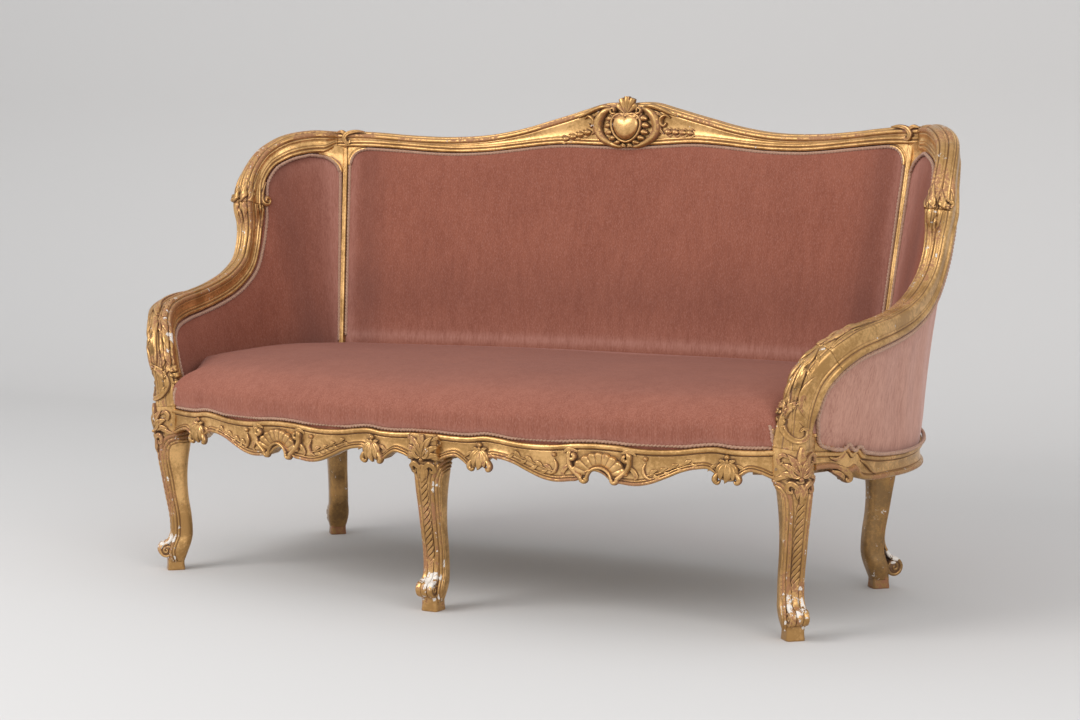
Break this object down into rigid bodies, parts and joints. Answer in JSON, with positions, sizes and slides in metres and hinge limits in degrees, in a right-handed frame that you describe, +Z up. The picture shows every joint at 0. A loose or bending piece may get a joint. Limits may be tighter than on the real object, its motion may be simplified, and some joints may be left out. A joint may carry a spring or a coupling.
{
  "type": "cabriole sofa",
  "caption": "Carved giltwood cabriole sofa with a bowed back, ear wings running down into the arms, scrolled legs and fixed velvet upholstery.",
  "frame": {"origin": "on the floor under the middle of the overall box", "axes": "+X to the right of someone who looks at the front, +Y from the front to the back, +Z up"},
  "size_m": [1.8004, 0.9458, 1.06],
  "materials": {
    "gilt_wood": "water gilding over red bole and gesso, rubbed",
    "beech": "bare beech",
    "velvet": "cut pile, terracotta pink",
    "jute": "plain woven jute",
    "hair": "stitched curled hair",
    "braid": "twisted braid"
  },
  "bodies": {
    "root": {"front_leg_left": "gilt_wood", "front_leg_middle": "gilt_wood", "front_leg_right": "gilt_wood", "back_post_left": "gilt_wood", "back_post_right": "gilt_wood", "front_rail_left": "gilt_wood", "front_rail_right": "gilt_wood", "side_rail_left": "gilt_wood", "side_rail_right": "gilt_wood", "back_rail": "beech", "lower_back_rail": "beech", "seat_brace": "beech", "corner_block_front_left": "beech", "corner_block_front_right": "beech", "corner_block_back_left": "beech", "corner_block_back_right": "beech", "arm_support_left": "gilt_wood", "arm_support_right": "gilt_wood", "arm_rail_left": "gilt_wood", "arm_rail_right": "gilt_wood", "wing_rail_left": "gilt_wood", "wing_rail_right": "gilt_wood", "crest_rail": "gilt_wood", "crest_cartouche": "gilt_wood", "joint_pegs": "beech", "rail_dowels": "beech", "seat_webbing": "jute", "seat_hessian": "jute", "seat_stuffing": "hair", "seat_cover": "velvet", "back_webbing": "jute", "back_stuffing": "hair", "back_cover_inside": "velvet", "back_cover_outside": "velvet", "arm_webbing_left": "jute", "arm_webbing_right": "jute", "arm_stuffing_left": "hair", "arm_stuffing_right": "hair", "arm_cover_inside_left": "velvet", "arm_cover_inside_right": "velvet", "arm_cover_outside_left": "velvet", "arm_cover_outside_right": "velvet", "seat_gimp": "braid", "back_gimp": "braid", "arm_gimp_inside_left": "braid", "arm_gimp_inside_right": "braid", "arm_gimp_outside_left": "braid", "arm_gimp_outside_right": "braid"}
  },
  "joints": []
}
